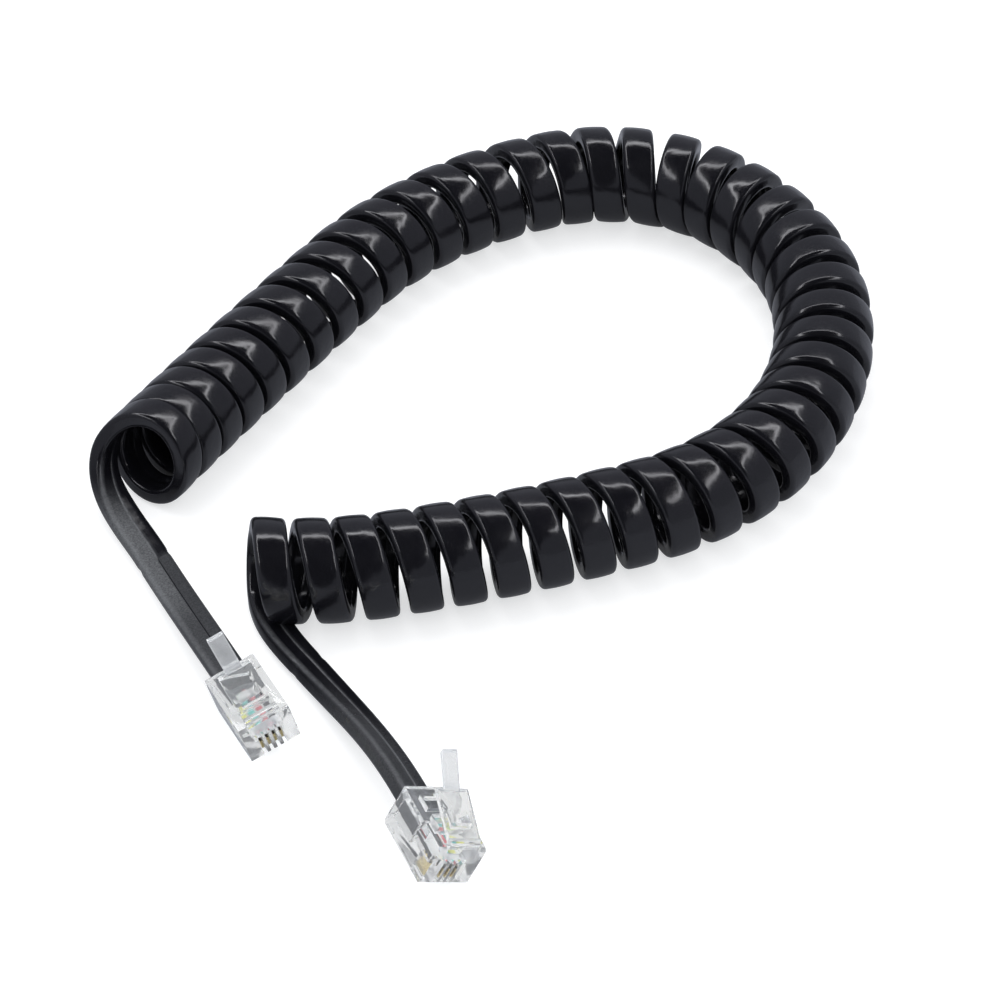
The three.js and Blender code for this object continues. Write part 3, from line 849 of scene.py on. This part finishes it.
MATERIALS = {"jacket": jacket_material(), "clear_plastic": clear_material(), "contact_gold": gold_material()}
for wire_name, wire_colour in WIRE_COLOURS.items():
    MATERIALS[f"wire_{wire_name}"] = wire_material(wire_name, wire_colour)


# ---- studio, in metres ----

CAMERA_ELEVATION = math.radians(40)
CAMERA_DISTANCE = 0.63
CAMERA_FIELD = math.radians(13.29)
FLOOR_HALF = 3
FLOOR_DROP = 0.00003                   # just below the part, so that the two don't share a plane
LAMPS = (                              # name, place, size and power in watts
    ("key", (-0.25, 0.35, 0.9), 0.9, 5.0),
    ("fill", (0.5, -0.5, 0.8), 0.8, 1.5),
)


def in_mirror(n):
    """1 for a ray that has bounced off a glossy surface and has not been inside the clear plastic."""
    path = n.add("ShaderNodeLightPath")
    outside = n.math("LESS_THAN", path.outputs["Transmission Depth"], 0.5)
    return n.math("MULTIPLY", path.outputs["Is Glossy Ray"], outside)


def seen_through(n):
    """1 for a ray that has been inside the clear plastic."""
    path = n.add("ShaderNodeLightPath")
    return n.math("GREATER_THAN", path.outputs["Transmission Depth"], 0.5)


def build_floor():
    """A table that looks white, darker in the cord's mirror and a little darker through the plugs."""
    bm = bmesh.new()
    bmesh.ops.create_grid(bm, x_segments=8, y_segments=8, size=FLOOR_HALF)
    mesh = bpy.data.meshes.new("floor")
    bm.to_mesh(mesh)
    bm.free()
    floor = add_object("floor", mesh)
    material, n, shader, _ = new_material("white_table")
    mirrored = in_mirror(n)
    seen = n.mix(seen_through(n), (0.5, 0.5, 0.5, 1), (0.18, 0.18, 0.18, 1))
    n.feed(shader.inputs["Base Color"], n.mix(mirrored, seen, (0.2, 0.21, 0.25, 1)))
    n.feed(shader.inputs["Roughness"], 0.6)
    n.feed(shader.inputs["Specular IOR Level"], 0)
    n.feed(shader.inputs["Emission Color"], (0.98, 0.99, 1.0, 1))
    n.feed(shader.inputs["Emission Strength"], n.span(mirrored, 0, 1, 0.62, 0.12))
    floor.data.materials.append(material)
    floor.location.z = -FLOOR_DROP


def build_lights():
    """Two wide soft lights overhead. What the glossy cord mirrors comes from the world instead."""
    for name, where, size, power in LAMPS:
        light = bpy.data.lights.new(name, "AREA")
        light.shape = "SQUARE"
        light.size = size
        light.energy = power
        lamp = add_object(name, light)
        lamp.location = where
        lamp.rotation_euler = (-Vector(where)).to_track_quat("-Z", "Y").to_euler()
        lamp.visible_glossy = False
        lamp.visible_transmission = False


def build_world():
    """White to look at, and for mirrors a studio: pale walls around a dark opening with a bright frame."""
    world = bpy.data.worlds.new("studio")
    bpy.context.scene.world = world
    world.use_nodes = True
    n = Nodes(world.node_tree)
    direction = n.add("ShaderNodeTexCoord").outputs["Generated"]
    parts = n.add("ShaderNodeSeparateXYZ")
    n.feed(parts.inputs[0], direction)
    x, y, z = parts.outputs
    high = n.math("MAXIMUM", z, 0.02)
    aside = n.math("ABSOLUTE", n.math("DIVIDE", x, high))
    behind = n.math("DIVIDE", y, high)
    frame_side, frame_back, frame_front, frame_half = 0.75, 0.6, -0.7, 0.07
    edge = n.math("MAXIMUM", n.math("SUBTRACT", aside, frame_side), n.math("SUBTRACT", behind, frame_back))
    near_edge = n.math("LESS_THAN", n.math("ABSOLUTE", edge), frame_half)
    on_frame = n.math("MULTIPLY", near_edge, n.math("GREATER_THAN", behind, frame_front))
    wall = n.mix(n.math("GREATER_THAN", edge, 0), (0.015, 0.015, 0.02, 1), (0.3, 0.31, 0.36, 1))
    mirror = n.mix(on_frame, wall, (7, 7, 7.3, 1))
    through = n.mix(n.span(z, 0.05, 0.5, 0, 1), (0.82, 0.83, 0.83, 1), (0.92, 0.93, 0.94, 1))
    sky = n.mix(seen_through(n), (1.0, 1.01, 1.03, 1), through)
    background = n.add("ShaderNodeBackground")
    n.feed(background.inputs["Color"], n.mix(in_mirror(n), sky, mirror))
    output = n.add("ShaderNodeOutputWorld")
    n.feed(output.inputs["Surface"], background.outputs[0])


def build_camera():
    camera = bpy.data.cameras.new("camera")
    camera.angle = CAMERA_FIELD
    camera.clip_start = 0.01
    camera.clip_end = 20
    viewer = add_object("camera", camera)
    back = Vector((0, -math.cos(CAMERA_ELEVATION), math.sin(CAMERA_ELEVATION)))
    viewer.location = OFFSET * MM + back * CAMERA_DISTANCE
    viewer.rotation_euler = (-back).to_track_quat("-Z", "Y").to_euler()
    bpy.context.scene.camera = viewer


build_coil()
for plug_end in "ab":
    build_tail(plug_end)
    build_housing(plug_end)
    build_latch(plug_end)
    build_bars(plug_end)
    build_contacts(plug_end)
build_floor()
build_lights()
build_world()
build_camera()
bpy.context.scene.view_settings.view_transform = "Standard"
# Light crosses many walls inside the clear plugs, and bounces between them.
bpy.context.scene.cycles.max_bounces = 24
bpy.context.scene.cycles.transmission_bounces = 24
bpy.context.scene.cycles.glossy_bounces = 12
